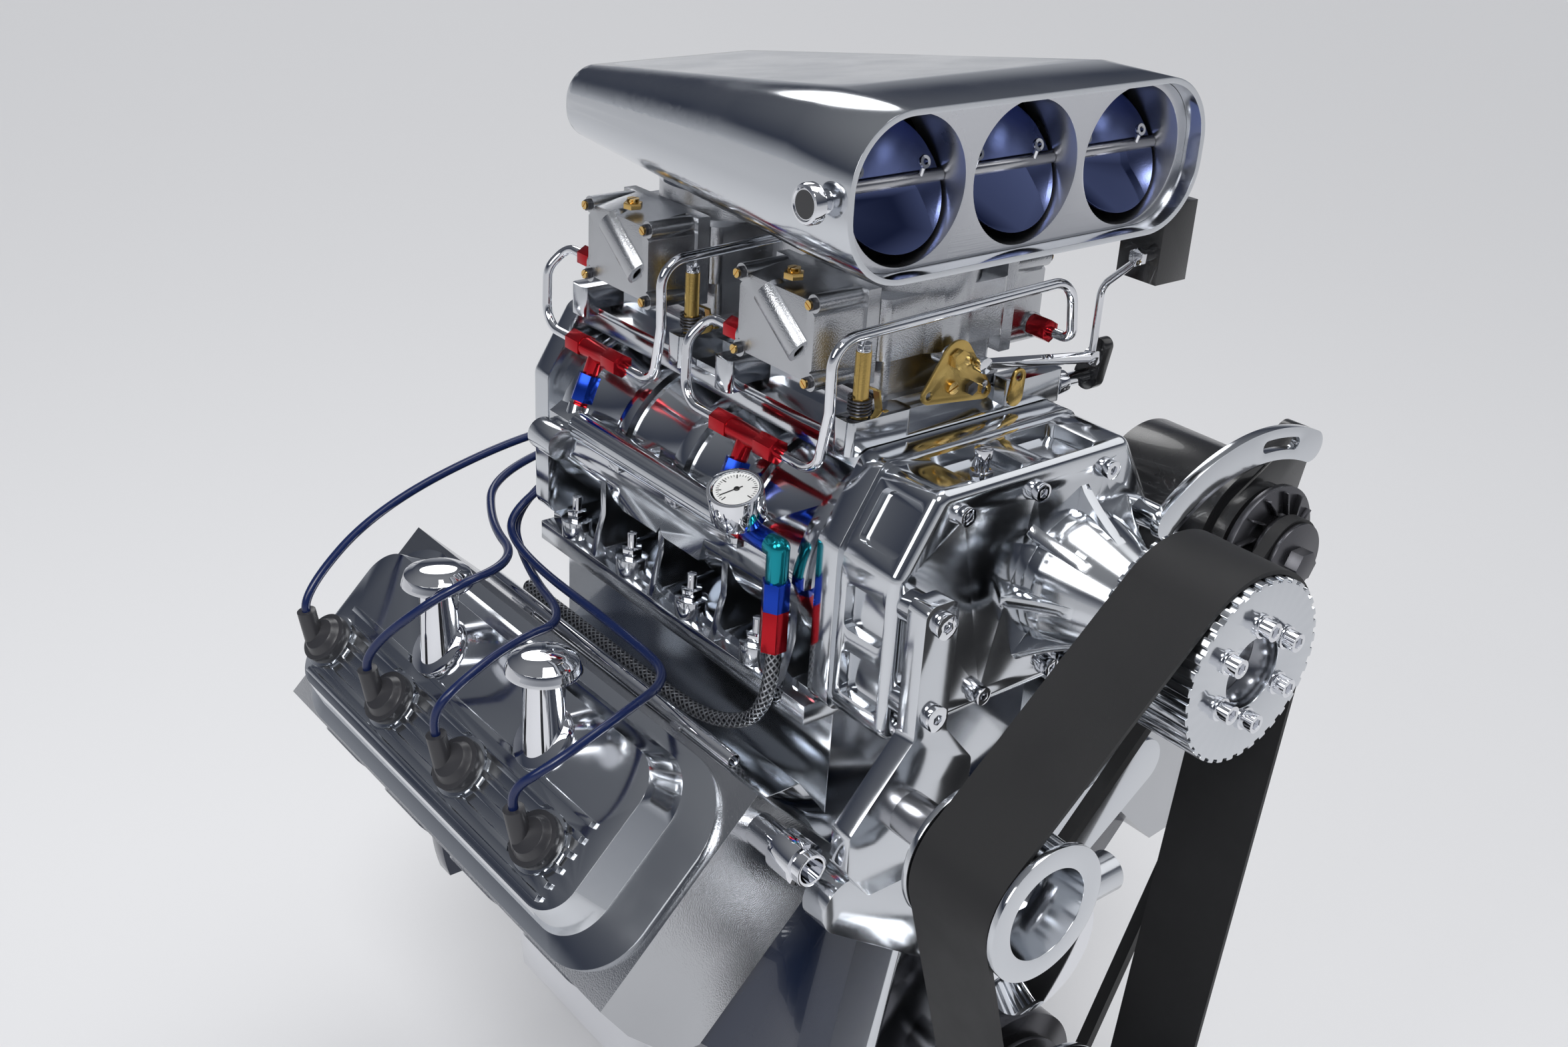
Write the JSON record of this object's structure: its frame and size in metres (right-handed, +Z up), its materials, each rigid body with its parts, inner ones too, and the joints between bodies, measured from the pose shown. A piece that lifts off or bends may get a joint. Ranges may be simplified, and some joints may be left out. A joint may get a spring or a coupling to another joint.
{
  "type": "supercharged v8 engine",
  "caption": "Polished V8 engine with a belt-driven blower, sideways carburettors on top and a flat air scoop with butterfly valves at its mouth.",
  "frame": {"origin": "crank centreline in the block's rear face, the middle of the lower bellhousing bolts", "axes": "+Z up, -Y to the engine's front where the belt runs, +X to the engine's left-hand side, +Y out of the rear face"},
  "size_m": [0.7088, 0.7715, 1.0603],
  "materials": {
    "belt_rubber": "matte",
    "black_enamel": "satin",
    "blade_mirror": "polished",
    "block_enamel": "gloss",
    "boot_rubber": "satin",
    "braided_steel": "satin",
    "brushed_aluminium": "brushed",
    "cap_plastic": "gloss",
    "cast_aluminium": "satin",
    "chrome": "polished",
    "dark_steel": "satin",
    "fitting_blue": "anodised",
    "fitting_red": "anodised",
    "fitting_teal": "anodised",
    "gold_zinc": "satin",
    "machined_steel": "satin",
    "polished_aluminium": "polished",
    "wire_silicone": "satin"
  },
  "bodies": {
    "engine": {"air_scoop": "polished_aluminium", "alternator": "black_enamel", "alternator_arc": "polished_aluminium", "alternator_mount": "polished_aluminium", "bearing_plate": "polished_aluminium", "blower_belt": "belt_rubber", "blower_case": "polished_aluminium", "blower_fasteners": "chrome", "blower_manifold": "polished_aluminium", "blower_rear_cover": "polished_aluminium", "breathers_left": "chrome", "breathers_right": "chrome", "carb_adapter": "polished_aluminium", "carb_front_body": "cast_aluminium", "carb_front_bowls": "cast_aluminium", "carb_linkage": "gold_zinc", "carb_rear_body": "cast_aluminium", "carb_rear_bowls": "cast_aluminium", "cylinder_head_left": "cast_aluminium", "cylinder_head_right": "cast_aluminium", "distributor": "cap_plastic", "drive_belt": "belt_rubber", "drive_snout": "polished_aluminium", "engine_block": "block_enamel", "fuel_gauge": "chrome", "fuel_hose": "braided_steel", "fuel_lines": "chrome", "fuel_log": "polished_aluminium", "fuel_nuts": "fitting_blue", "fuel_tees": "fitting_red", "gear_cover": "polished_aluminium", "hose_elbow": "fitting_teal", "idler_bracket": "polished_aluminium", "idler_stud": "machined_steel", "loom_tube_left": "chrome", "loom_tube_right": "chrome", "oil_pan": "chrome", "plug_boots_left": "boot_rubber", "plug_boots_right": "boot_rubber", "plug_wires_left": "wire_silicone", "plug_wires_right": "wire_silicone", "scoop_butterflies": "blade_mirror", "scoop_lever": "black_enamel", "scoop_plate": "brushed_aluminium", "throttle_rod": "chrome", "timing_cover": "polished_aluminium", "valve_cover_left": "polished_aluminium", "valve_cover_right": "polished_aluminium", "water_outlet": "chrome", "water_pump": "polished_aluminium"},
    "crank": {"crank_flange": "machined_steel", "crank_nose": "machined_steel", "damper": "dark_steel", "lower_pulley": "polished_aluminium"},
    "blower_drive": {"upper_pulley": "polished_aluminium", "drive_flange": "machined_steel", "pulley_bolts": "chrome"},
    "idler": {"idler_pulley": "polished_aluminium"},
    "water_pump_pulley": {"pump_pulley": "chrome"},
    "alternator_spindle": {"alternator_rotor": "dark_steel"}
  },
  "joints": [
    {"name": "crank_spin", "type": "hinge", "parent": "engine", "child": "crank", "pos_m": [0, -0.5, 0], "axis": [0, 1, 0], "continuous": true},
    {"name": "blower_spin", "type": "hinge", "parent": "engine", "child": "blower_drive", "pos_m": [0.052, -0.5, 0.48], "axis": [0, 1, 0], "continuous": true},
    {"name": "idler_spin", "type": "hinge", "parent": "engine", "child": "idler", "pos_m": [-0.135, -0.5, 0.3516], "axis": [0, 1, 0], "continuous": true},
    {"name": "pump_spin", "type": "hinge", "parent": "engine", "child": "water_pump_pulley", "pos_m": [0, -0.5, 0.182], "axis": [0, 1, 0], "continuous": true},
    {"name": "alternator_spin", "type": "hinge", "parent": "engine", "child": "alternator_spindle", "pos_m": [0.244, -0.5, 0.47], "axis": [0, 1, 0], "continuous": true}
  ],
  "couplings": [
    {"joint": "blower_spin", "follows": "crank_spin", "ratio": 1.1111},
    {"joint": "idler_spin", "follows": "crank_spin", "ratio": 1.6667},
    {"joint": "pump_spin", "follows": "crank_spin", "ratio": 1.2069},
    {"joint": "alternator_spin", "follows": "crank_spin", "ratio": 2.1212}
  ]
}
